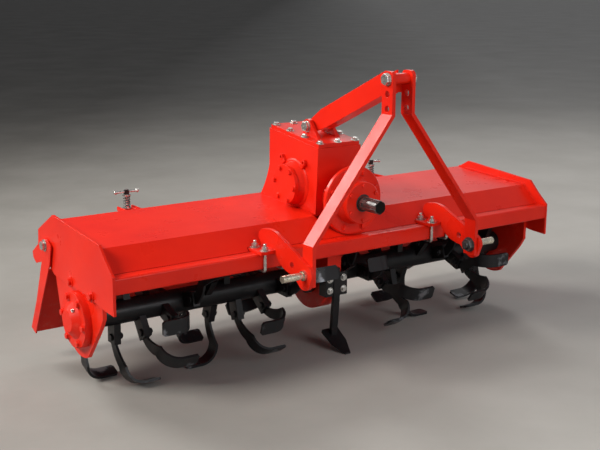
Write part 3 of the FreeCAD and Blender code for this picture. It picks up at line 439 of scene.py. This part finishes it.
bm = bmesh.new()
for side in (-1, 1):
    out = around_x(NIPPLE_DEG)
    at = Vector((side * CONE_MIDDLE_X, AXIS_Y, AXIS_Z)) + out * CONE_MIDDLE_R
    nipple = stand(Vector((side * CONE_FALL, 0, 0)) + out * CONE_LENGTH, at)
    add_hexagon(bm, nipple, across=0.010, height=0.004)
    add_disc(bm, nipple, radius=0.0030, height=0.004, base=0.004, segments=12, top=0.0038)
    add_disc(bm, nipple, radius=0.0038, height=0.002, base=0.008, segments=12, top=0.0020)
finish("grease_nipples", bm, zinc, "frame")


# Gearbox: a cast-iron case under a machined cover that slopes down to the
# front, with two side covers and a lower gear case. Zinc screws hold the top
# cover, and a breather stands on it.
COVER_FRONT_Y = -0.135
COVER_FRONT_Z = 0.691
COVER_REAR_Y = 0.145
COVER_REAR_Z = 0.726
COVER_T = 0.0125
COVER_SLOPE = math.atan2(COVER_REAR_Z - COVER_FRONT_Z, COVER_REAR_Y - COVER_FRONT_Y)
COVER_UP = Vector((0, -math.sin(COVER_SLOPE), math.cos(COVER_SLOPE)))
COVER_BOLT_X = 0.071
COVER_BOLT_ROWS_Y = (-0.078, 0.006, 0.090, 0.172)
BREATHER_X = 0.045
BREATHER_Y = 0.016

for name in ("gearbox_case", "lower_gear_case", "side_cover_left", "side_cover_right"):
    finish_node(name, cast_red)
cover_red = red_paint("cover_red", peel_scale=210.0, peel_depth=0.0008, roughness=0.36)
finish_node("gearbox_cover", cover_red)


def on_cover(x, y):
    # A point on the cover's sloping top; its front and rear count from the
    # rotor axis.
    run = y - AXIS_Y - COVER_FRONT_Y
    rise = run * math.tan(COVER_SLOPE) + COVER_T / math.cos(COVER_SLOPE)
    return Vector((x, y, COVER_FRONT_Z + rise))


bm = bmesh.new()
for x in (-COVER_BOLT_X, COVER_BOLT_X):
    for y in COVER_BOLT_ROWS_Y:
        add_bolt(bm, on_cover(x, y), COVER_UP, across=0.017, height=0.0075, turn=y * 7)
for y in (COVER_BOLT_ROWS_Y[0], COVER_BOLT_ROWS_Y[-1]):
    add_bolt(bm, on_cover(0.0, y), COVER_UP, across=0.017, height=0.0075, turn=0.4)
finish("cover_bolts", bm, zinc, "frame")

bm = bmesh.new()
breather = stand(COVER_UP, on_cover(BREATHER_X, BREATHER_Y))
add_hexagon(bm, breather, across=0.022, height=0.009)
add_disc(bm, breather, radius=0.008, height=0.006, base=0.009)
add_disc(bm, breather, radius=0.013, height=0.010, base=0.015, segments=28, top=0.0115)
add_disc(bm, breather, radius=0.0115, height=0.003, base=0.025, segments=28, top=0.007)
finish("breather", bm, zinc, "frame")


# Each side cover is held by six red screws, and its boss swells into the
# case's wall. Above it two cast eyes stand on short feet, and an oil plug
# closes the wall behind the boss.
SIDE_COVER_X = 0.126
SIDE_COVER_Z = 0.559
SIDE_SCREW_R = 0.0555
CASE_SIDE_X = 0.086
EYE_DEGS = (52, 130)
EYE_MIDDLE_R = 0.101
EYE_FOOT_R = 0.0865
EYE_FOOT_OUT = 0.005
PLUG_Y = 0.140
PLUG_Z = 0.512
SWELL = (
    (0.071, -0.002),
    (0.084, -0.002),
    (0.0825, 0.0015),
    (0.0795, 0.0035),
    (0.0755, 0.0050),
    (0.071, 0.0060),
)
EYE_RING = (
    (0.0045, -0.001),
    (0.0105, -0.001),
    (0.0105, 0.010),
    (0.0095, 0.012),
    (0.0045, 0.012),
)


def spun(bm, profile, place, steps=48):
    # A closed ring from (radius, height) pairs, spun round the place's Z axis.
    verts = [bm.verts.new(place @ Vector((r, 0, h))) for r, h in profile]
    edges = [bm.edges.new((a, b)) for a, b in zip(verts, verts[1:] + verts[:1])]
    bmesh.ops.spin(
        bm,
        geom=verts + edges,
        cent=place.translation,
        axis=place.to_3x3() @ Vector((0, 0, 1)),
        angle=math.radians(360),
        steps=steps,
        use_merge=True,
    )
    bmesh.ops.remove_doubles(bm, verts=bm.verts, dist=1e-6)
    bmesh.ops.recalc_face_normals(bm, faces=bm.faces)


def add_block(bm, place, size, edge):
    # A block with rounded edges.
    made = bmesh.ops.create_cube(bm, size=1.0, matrix=place @ Matrix.Diagonal((*size, 1)))
    edges = {line for vert in made["verts"] for line in vert.link_edges}
    bmesh.ops.bevel(
        bm, geom=list(edges), offset=edge, segments=3, profile=0.5, affect="EDGES", material=-1
    )


bm = bmesh.new()
for side in (-1, 1):
    for index in range(6):
        degrees = 7 + 60 * index
        at = Vector((side * SIDE_COVER_X, AXIS_Y, SIDE_COVER_Z)) + around_x(degrees) * SIDE_SCREW_R
        turn = math.radians(degrees)
        add_bolt(bm, at, (side, 0, 0), across=0.0135, height=0.0065, washer=0.75, turn=turn)
finish("side_cover_bolts", bm, cast_red, "frame")

bm = bmesh.new()
for side in (-1, 1):
    spun(bm, SWELL, stand((side, 0, 0), (side * CASE_SIDE_X, AXIS_Y, SIDE_COVER_Z)), steps=64)
finish("cover_swells", bm, cast_red, "frame", smooth=True)

bm = bmesh.new()
for side in (-1, 1):
    boss = Vector((side * CASE_SIDE_X, AXIS_Y, SIDE_COVER_Z))
    for degrees in EYE_DEGS:
        out = around_x(degrees)
        spun(bm, EYE_RING, stand((side, 0, 0), boss + out * EYE_MIDDLE_R), steps=28)
        foot = Matrix.Translation(boss + out * EYE_FOOT_R + Vector((side * EYE_FOOT_OUT, 0, 0)))
        turned = foot @ Matrix.Rotation(math.radians(degrees), 4, "X")
        add_block(bm, turned, size=(0.012, 0.018, 0.019), edge=0.003)
    plug = stand((side, 0, 0), (side * CASE_SIDE_X, PLUG_Y, PLUG_Z))
    add_disc(bm, plug, radius=0.017, height=0.004, segments=28)
    add_hexagon(bm, plug, across=0.019, height=0.009, base=0.004)
finish("case_eyes", bm, cast_red, "frame")


# The input carrier is one turned casting: a neck out of the case, a wide
# flange with a machined rim, and a cone that ends in the nose. Bolts go through
# the flange, with nuts behind it; screws and a black seal close the nose, the
# seal's thin black ring partly a real seal and partly a painted shadow round the
# shaft's root.
CARRIER_Z = 0.527
CASE_FRONT_Y = -0.0757
FLANGE_BACK_Y = -0.1542
FLANGE_FACE_Y = -0.1697
NOSE_FACE_Y = -0.2177
FLANGE_BOLT_R = 0.094
NOSE_SCREW_R = 0.056

neck = CASE_FRONT_Y - FLANGE_BACK_Y
flange = CASE_FRONT_Y - FLANGE_FACE_Y
nose = CASE_FRONT_Y - NOSE_FACE_Y
CARRIER = (
    (0.0200, 0.0),
    (0.0660, 0.0),
    (0.0600, 0.008),
    (0.0580, neck - 0.010),
    (0.0600, neck - 0.004),
    (0.0650, neck),
    (0.1105, neck),
    (0.1120, neck + 0.0015),
    (0.1120, flange - 0.003),
    (0.1090, flange),
    (0.0770, flange),
    (0.0740, flange + 0.003),
    (0.0530, nose - 0.016),
    (0.0545, nose - 0.014),
    (0.0670, nose - 0.014),
    (0.0680, nose - 0.013),
    (0.0680, nose - 0.003),
    (0.0650, nose),
    (0.0200, nose),
)
SEAL_AND_SHADE_RING = ((0.0229, 0.0), (0.0229, 0.0008), (0.0245, 0.0009), (0.0275, 0.0008), (0.0285, 0.0))

bm = bmesh.new()
spun(bm, CARRIER, stand((0, -1, 0), (0, CASE_FRONT_Y, CARRIER_Z)), steps=96)
carrier = finish("carrier_casting", bm, sheet_red, "frame", smooth=True)
carrier.data.set_sharp_from_angle(angle=math.radians(30))
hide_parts("input_carrier")

bm = bmesh.new()
for index in range(8):
    angle = math.radians(22.5 + 45 * index)
    x = FLANGE_BOLT_R * math.cos(angle)
    z = CARRIER_Z + FLANGE_BOLT_R * math.sin(angle)
    add_bolt(bm, (x, FLANGE_FACE_Y, z), (0, -1, 0), across=0.016, height=0.007, turn=angle)
    behind = (x, FLANGE_BACK_Y, z)
    add_bolt(bm, behind, (0, 1, 0), across=0.016, height=0.012, stub=0.009, turn=angle)
for index in range(6):
    angle = math.radians(30 + 60 * index)
    x = NOSE_SCREW_R * math.cos(angle)
    z = CARRIER_Z + NOSE_SCREW_R * math.sin(angle)
    at = (x, NOSE_FACE_Y, z)
    add_bolt(bm, at, (0, -1, 0), across=0.011, height=0.005, washer=0.0, turn=angle)
finish("carrier_bolts", bm, cast_red, "frame")

rubber, tree, shader = new_material("seal_rubber")
dusty_black = mixed(tree, noise(tree, 90.0), (0.012, 0.012, 0.013), (0.03, 0.029, 0.028))
tree.links.new(dusty_black, shader.inputs["Base Color"])
shader.inputs["Roughness"].default_value = 0.62
bumped(tree, shader, noise(tree, 300.0), strength=0.2, distance=0.0004)

# A black rubber seal whose thin ring also stands for the shadow round the shaft's root: partly
# painted shade.
bm = bmesh.new()
spun(bm, SEAL_AND_SHADE_RING, stand((0, -1, 0), (0, NOSE_FACE_Y, CARRIER_Z)))
finish("input_seal_shade_ring", bm, rubber, "frame", smooth=True)


# Input shaft: oiled, splined steel, with painted highlights as bright streaks
# along its teeth. Its end face is painted near black.
END_BLACK_STARTS_Y = -0.3028
END_BLACK_FULL_Y = -0.3035

shaft_steel, tree, shader = new_material("shaft_steel_painted_highlights")
# Painted highlight: lengthwise streaks brighten the shaft's colour.
lengthwise = noise(tree, 60.0, detail=4.0, roughness=0.6, stretch=(9, 0.6, 9))
highlight_streak = spread(tree, lengthwise, 0.42, 0.72)
highlight_streaked = mixed(tree, highlight_streak, (0.10, 0.098, 0.096), (0.36, 0.35, 0.34))
# The shaft's end face is painted near black.
end_face = spread(tree, position(tree)["Y"], END_BLACK_STARTS_Y, END_BLACK_FULL_Y)
streaked_black_ended = mixed(tree, end_face, highlight_streaked, (0.012, 0.011, 0.010))
tree.links.new(streaked_black_ended, shader.inputs["Base Color"])
shader.inputs["Metallic"].default_value = 0.9
wandering_gloss(tree, shader, 40.0, smoothest=0.26, dullest=0.46)
grain = noise(tree, 240.0, roughness=0.6, stretch=(6, 0.5, 6))
bumped(tree, shader, grain, strength=0.2, distance=0.0005)
finish_node("pto_shaft", shaft_steel)


# Hitch plates are flame-cut plate, each welded to a foot that two U-bolts
# clamp on the beam; the nuts and washers are zinc plated and bare.
CLAMP_X = 0.3355
CLAMP_HALF = 0.034
CLAMP_ROWS_Y = (-0.2111, -0.1551)
FOOT_TOP_Z = 0.423
PLATE_SIDES_X = (0.3295, 0.3415)
PLATE_ENDS_Y = (-0.1445, -0.222)
PLATE_WELD_Z = 0.4235

for name in ("hitch_plate", "clamp_foot", "mast_bar"):
    finish_node(name + "_left", sheet_red)
    finish_node(name + "_right", sheet_red)
for name in ("u_bolts_left", "u_bolts_right", "lug_pin", "mast_pin"):
    finish_node(name, zinc)

bm = bmesh.new()
for side in (-1, 1):
    for offset in (-CLAMP_HALF, CLAMP_HALF):
        for y in CLAMP_ROWS_Y:
            add_bolt(
                bm,
                (side * CLAMP_X + offset, y, FOOT_TOP_Z),
                (0, 0, 1),
                across=0.0185,
                height=0.010,
                washer=0.90625,
                stub=0.010,
                turn=offset * 30 + y,
            )
finish("clamp_nuts", bm, zinc, "frame")

bm = bmesh.new()
for side in (-1, 1):
    for x in PLATE_SIDES_X:
        rear, front = [(side * x, y, PLATE_WELD_Z) for y in PLATE_ENDS_Y]
        add_weld(bm, rear, front, size=0.003)
finish("hitch_welds", bm, sheet_red, "frame", smooth=True)


# Lower hitch pins: turned steel with a yellow zinc finish, a collar against
# the plate, a chamfered end and a dark nut inside.
PIN_Y = -0.3757
PIN_Z = 0.380
PIN_NUT_X = 0.3175

yellow_zinc, tree, shader = new_material("yellow_zinc")
patch = spread(tree, noise(tree, 45.0, detail=4.0), 0.3, 0.7)
yellow = mixed(tree, patch, (0.80, 0.73, 0.58), (0.52, 0.48, 0.39))
tree.links.new(yellow, shader.inputs["Base Color"])
shader.inputs["Metallic"].default_value = 0.85
wandering_gloss(tree, shader, 70.0, smoothest=0.18, dullest=0.34)
bumped(tree, shader, noise(tree, 400.0), strength=0.15, distance=0.0004)
finish_node("hitch_pin_left", yellow_zinc)
finish_node("hitch_pin_right", yellow_zinc)

dark_steel, tree, shader = new_material("dark_steel")
darkened = mixed(tree, noise(tree, 120.0), (0.05, 0.05, 0.055), (0.17, 0.165, 0.16))
tree.links.new(darkened, shader.inputs["Base Color"])
shader.inputs["Metallic"].default_value = 0.7
shader.inputs["Roughness"].default_value = 0.38
bumped(tree, shader, noise(tree, 350.0), strength=0.15, distance=0.0004)

bm = bmesh.new()
for side in (-1, 1):
    nut = stand((-side, 0, 0), (side * PIN_NUT_X, PIN_Y, PIN_Z))
    add_disc(bm, nut, radius=0.024, height=0.0025, segments=32)
    add_hexagon(bm, nut, across=0.0375, height=0.0135, base=0.0012, turn=0.3)
    add_disc(bm, nut, radius=0.0115, height=0.007, base=0.0147, segments=20, top=0.0105)
finish("pin_nuts", bm, dark_steel, "frame")


# Mast bars, strut, lugs and the crosshead: flat bar and folded sheet. The two
# cross pins are zinc bolts with washers; welds hold the lugs on the gearbox
# cover and the crosshead between the bars.
MAST_PIN = (PIN_Y, 0.934)
LUG_PIN = (0.0303, 0.746)
CROSS_PIN_X = 0.044
CROSSHEAD_BACK_Y = -0.3505
CROSSHEAD_ENDS_Z = (0.893, 0.928)
BAR_INNER_X = 0.0325
LUG_SIDES_X = (0.0315, 0.0445)
LUG_ENDS_Y = (-0.030, 0.053)

for name in ("strut", "strut_lugs", "mast_crosshead"):
    finish_node(name, sheet_red)

bm = bmesh.new()
for (y, z), turn in ((MAST_PIN, 0.2), (LUG_PIN, 0.5)):
    for side in (-1, 1):
        bolt = stand((side, 0, 0), (side * CROSS_PIN_X, y, z))
        add_disc(bm, bolt, radius=0.0195, height=0.003, segments=32)
        add_hexagon(bm, bolt, across=0.031, height=0.0105, base=0.003, turn=turn)
        if side > 0:
            add_disc(bm, bolt, radius=0.010, height=0.006, base=0.0135, segments=20, top=0.009)
finish("mast_bolts", bm, zinc, "frame")

bm = bmesh.new()
for side in (-1, 1):
    for x in LUG_SIDES_X:
        front, rear = [on_cover(side * x, y) for y in LUG_ENDS_Y]
        add_weld(bm, front, rear, size=0.003)
    low, high = [(side * BAR_INNER_X, CROSSHEAD_BACK_Y, z) for z in CROSSHEAD_ENDS_Z]
    add_weld(bm, low, high, size=0.0028)
finish("mast_welds", bm, sheet_red, "frame", smooth=True)


# Rotor: welded tube with forged sockets, painted semi-gloss black. The blades
# are spring steel, painted too, and soil has rubbed their outer ends bare in
# places. Bolts hold them in the sockets, and the tubes on their hubs.
WEAR_STARTS_R = 0.185
WEAR_FULL_R = 0.230
BLADES_A_HALF = 20
FIRST_BLADE_X = 0.093
LAST_BLADE_GAP = 0.021
BLADE_PITCH = (ARM_INNER_X - LAST_BLADE_GAP - FIRST_BLADE_X) / (BLADES_A_HALF - 1)
FIRST_BLADE_DEG = -123.75
BLADE_STEP_DEG = 198
SOCKET_BOLT_R = 0.079
SOCKET_HALF = 0.011
HUB_FLANGE_X = 0.041
HUB_BOLT_R = 0.048

black_paint, tree, shader = new_material("black_semi_gloss")
tone = spread(tree, noise(tree, 14.0, detail=4.0), 0.3, 0.75)
dark = mixed(tree, tone, (0.006, 0.006, 0.007), (0.014, 0.013, 0.014))
crumbs = noise(tree, 55.0, detail=5.0, roughness=0.7)
dry_soil = spread(tree, crumbs, 0.58, 0.82, to_high=0.16)
soiled = mixed(tree, dry_soil, dark, (0.16, 0.12, 0.09))
tree.links.new(soiled, shader.inputs["Base Color"])
wandering_gloss(tree, shader, 18.0, smoothest=0.28, dullest=0.45)
shader.inputs["Specular IOR Level"].default_value = 0.30
bumped(tree, shader, noise(tree, 180.0), strength=0.3, distance=0.0010)

# Wear grows with the distance from the rotor's axis, in ragged patches.
blade_steel, tree, shader = new_material("worn_blade_steel")
spot = position(tree)
from_axis_y = calculated(tree, "SUBTRACT", spot["Y"], AXIS_Y)
from_axis_z = calculated(tree, "SUBTRACT", spot["Z"], AXIS_Z)
square_y = calculated(tree, "MULTIPLY", from_axis_y, from_axis_y)
square_z = calculated(tree, "MULTIPLY", from_axis_z, from_axis_z)
radius_square = calculated(tree, "ADD", square_y, square_z)
reach = spread(tree, radius_square, WEAR_STARTS_R**2, WEAR_FULL_R**2)
ragged = spread(tree, noise(tree, 9.0, detail=6.0, roughness=0.62), 0.50, 0.62)
bare = spread(tree, calculated(tree, "MULTIPLY", reach, ragged), 0.25, 0.70)
paint = mixed(tree, noise(tree, 20.0), (0.006, 0.006, 0.007), (0.015, 0.015, 0.017))
scratches = noise(tree, 80.0, roughness=0.6, stretch=(1, 8, 8))
scratched = mixed(tree, scratches, (0.10, 0.105, 0.115), (0.25, 0.255, 0.27))
tree.links.new(mixed(tree, bare, paint, scratched), shader.inputs["Base Color"])
tree.links.new(spread(tree, bare, 0.0, 1.0, to_high=0.55), shader.inputs["Metallic"])
wandering_gloss(tree, shader, 26.0, smoothest=0.34, dullest=0.50)
shader.inputs["Specular IOR Level"].default_value = 0.30
bumped(tree, shader, noise(tree, 150.0), strength=0.25, distance=0.0008)

# Each socket bolt has its low head on the outside, where the side arm is
# near, and its nut towards the middle.
for side_name, side in (("left", 1), ("right", -1)):
    finish_node("rotor_tube_" + side_name, black_paint)
    finish_node("blades_" + side_name, blade_steel)
    bm = bmesh.new()
    for index in range(BLADES_A_HALF):
        x = side * (FIRST_BLADE_X + BLADE_PITCH * index)
        turn = math.radians(FIRST_BLADE_DEG + BLADE_STEP_DEG * index)
        y = AXIS_Y + SOCKET_BOLT_R * math.sin(turn)
        z = AXIS_Z - SOCKET_BOLT_R * math.cos(turn)
        add_bolt(
            bm,
            (x + side * SOCKET_HALF, y, z),
            (side, 0, 0),
            across=0.021,
            height=0.0045,
            washer=0.0,
            turn=turn,
        )
        add_bolt(
            bm,
            (x - side * SOCKET_HALF, y, z),
            (-side, 0, 0),
            across=0.021,
            height=0.010,
            washer=0.75,
            stub=0.004,
            turn=turn,
        )
    finish("socket_bolts_" + side_name, bm, black_paint, "rotor")

bm = bmesh.new()
for side in (-1, 1):
    for index in range(8):
        degrees = 45 * index
        at = Vector((side * HUB_FLANGE_X, AXIS_Y, AXIS_Z)) + around_x(degrees) * HUB_BOLT_R
        turn = math.radians(degrees)
        add_bolt(bm, at, (side, 0, 0), across=0.013, height=0.006, washer=0.0, turn=turn)
finish("flange_bolts", bm, black_paint, "rotor")


# Chisel: a forged bar with a broad share, painted black like its bracket on
# the lower gear case, whose face shows four zinc screws.
BRACKET_FACE_Y = -0.0837
BRACKET_BOLT_X = 0.028
BRACKET_BOLT_ROWS_Z = (0.207, 0.246)

finish_node("chisel", black_paint)
finish_node("chisel_bracket", black_paint)
bm = bmesh.new()
for x in (-BRACKET_BOLT_X, BRACKET_BOLT_X):
    for z in BRACKET_BOLT_ROWS_Z:
        add_bolt(
            bm,
            (x, BRACKET_FACE_Y, z),
            (0, -1, 0),
            across=0.015,
            height=0.0075,
            washer=0.8125,
            turn=z * 20 + x,
        )
finish("bracket_bolts", bm, zinc, "frame")


# Trailing board: folded sheet on a hinge tube, held down by two sprung rods,
# each with a black hub and a cross handle that ends in two bright balls.
# Hinge bolts are zinc, with washers.
HINGE_X = 0.879
HINGE_Y = 0.2533
HINGE_Z = 0.414
ROD_X = 0.526
ROD_UP = Vector((0, 0.0403, 0.9992))
HANDLE_Y = 0.3977
HANDLE_Z = 0.519
HANDLE_HALF = 0.040
HUB_HALF = 0.0095

board_red = red_paint("board_red", peel_scale=240.0, peel_depth=0.0007, roughness=0.36)
finish_node("trailing_board", board_red)
for side_name in ("left", "right"):
    finish_node("rod_guide_" + side_name, sheet_red)
    finish_node("spring_rod_" + side_name, zinc)
    finish_node("hinge_bolt_" + side_name, zinc)
    finish_node("adjust_spring_" + side_name, dark_steel)

bm = bmesh.new()
for side in (-1, 1):
    head = stand((side, 0, 0), (side * HINGE_X, HINGE_Y, HINGE_Z))
    add_disc(bm, head, radius=0.019, height=0.0025, segments=32)
    add_hexagon(bm, head, across=0.0255, height=0.010, base=0.0025, turn=0.15)
finish("hinge_heads", bm, zinc, "frame")

for side_name, side in (("left", 1), ("right", -1)):
    bm = bmesh.new()
    middle = Vector((side * ROD_X, HANDLE_Y, HANDLE_Z))
    hub = stand(ROD_UP, middle - ROD_UP * HUB_HALF)
    add_disc(bm, hub, radius=0.0085, height=0.0015, segments=32, top=0.0095)
    add_disc(bm, hub, radius=0.0095, height=0.0135, base=0.0015, segments=32)
    add_disc(bm, hub, radius=0.0095, height=0.0015, base=0.0150, segments=32, top=0.0080)
    finish("rod_hub_" + side_name, bm, black_paint, "rod_" + side_name)
    bm = bmesh.new()
    for end in (-1, 1):
        ball = Matrix.Translation(middle + Vector((end * HANDLE_HALF, 0, 0)))
        bmesh.ops.create_uvsphere(bm, u_segments=20, v_segments=12, radius=0.0068, matrix=ball)
    finish("rod_balls_" + side_name, bm, zinc, "rod_" + side_name, smooth=True)
